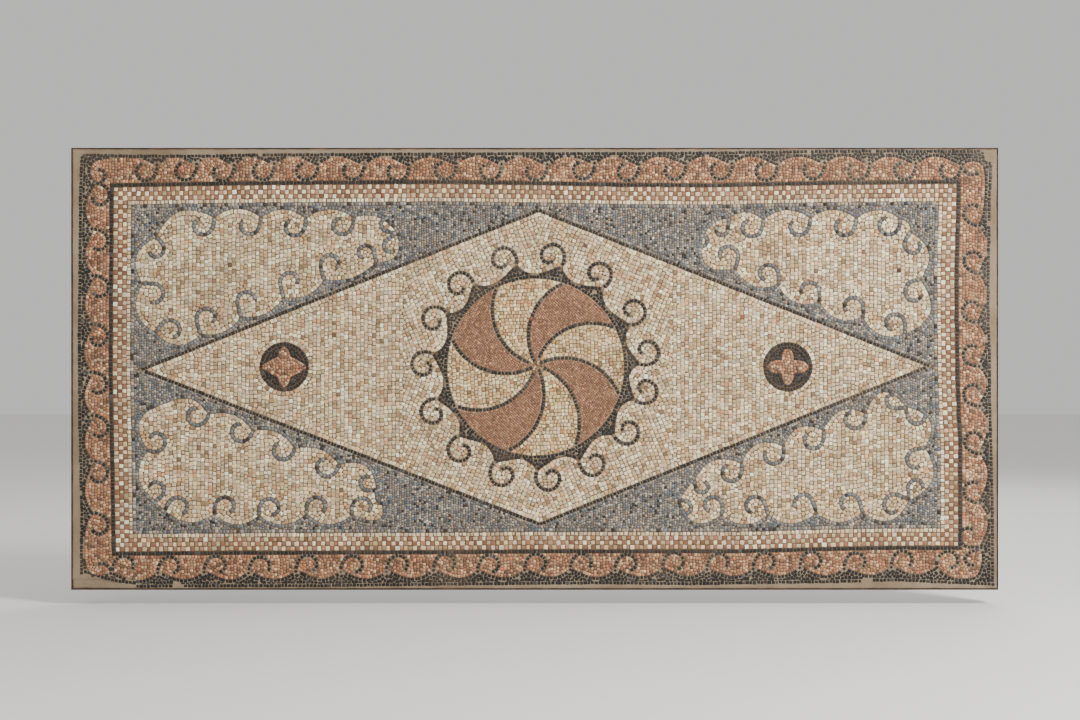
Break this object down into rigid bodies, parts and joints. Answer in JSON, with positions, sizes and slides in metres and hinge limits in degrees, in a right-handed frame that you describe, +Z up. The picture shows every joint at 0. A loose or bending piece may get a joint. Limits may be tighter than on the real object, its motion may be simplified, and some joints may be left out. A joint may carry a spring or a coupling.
{
  "type": "mosaic panel",
  "caption": "Flat rectangular panel of a stone mosaic floor in a cement slab with a thin iron edging, hung or built in upright: a lozenge with a whirling medallion inside a wave border",
  "frame": {"origin": "the middle of the flat back, at the mount back", "axes": "+X to the right of the picture, +Y into the wall that it hangs on, +Z up"},
  "size_m": [1.85, 0.04, 0.882],
  "materials": {
    "mortar": "rough trowelled cement, greenish beige, stained",
    "rusted_iron": "flat iron, rusted dark brown",
    "black_stone": "split black limestone, worn smooth on the face",
    "pink_stone": "split pink and orange limestone, matt",
    "brown_pink_stone": "very fine brown pink limestone chips, matt",
    "cream_stone": "split cream limestone, worn smooth on the face",
    "grey_stone": "mixed grey and blue grey stone chips, matt",
    "white_stone": "split white limestone, worn smooth on the face",
    "checker_stone": "white and brown pink limestone squares by turns"
  },
  "bodies": {
    "root": {"mortar_slab": "mortar", "edge_iron_top": "rusted_iron", "edge_iron_bottom": "rusted_iron", "edge_iron_left": "rusted_iron", "edge_iron_right": "rusted_iron", "wave_ground": "black_stone", "wave_band": "pink_stone", "black_fillet": "black_stone", "checker_band": "checker_stone", "white_row": "white_stone", "cloud_ground": "grey_stone", "cloud_top_left": "cream_stone", "cloud_bottom_left": "cream_stone", "cloud_top_right": "cream_stone", "cloud_bottom_right": "cream_stone", "lozenge_line": "black_stone", "medallion_ring_and_arms": "black_stone", "petal_cream_1": "cream_stone", "petal_pink_1": "brown_pink_stone", "petal_cream_2": "cream_stone", "petal_pink_2": "brown_pink_stone", "petal_cream_3": "cream_stone", "petal_pink_3": "brown_pink_stone", "petal_cream_4": "cream_stone", "petal_pink_4": "brown_pink_stone", "lozenge_field": "cream_stone", "roundel_left_ground": "black_stone", "roundel_left_cross": "pink_stone", "roundel_right_ground": "black_stone", "roundel_right_cross": "pink_stone"}
  },
  "joints": []
}
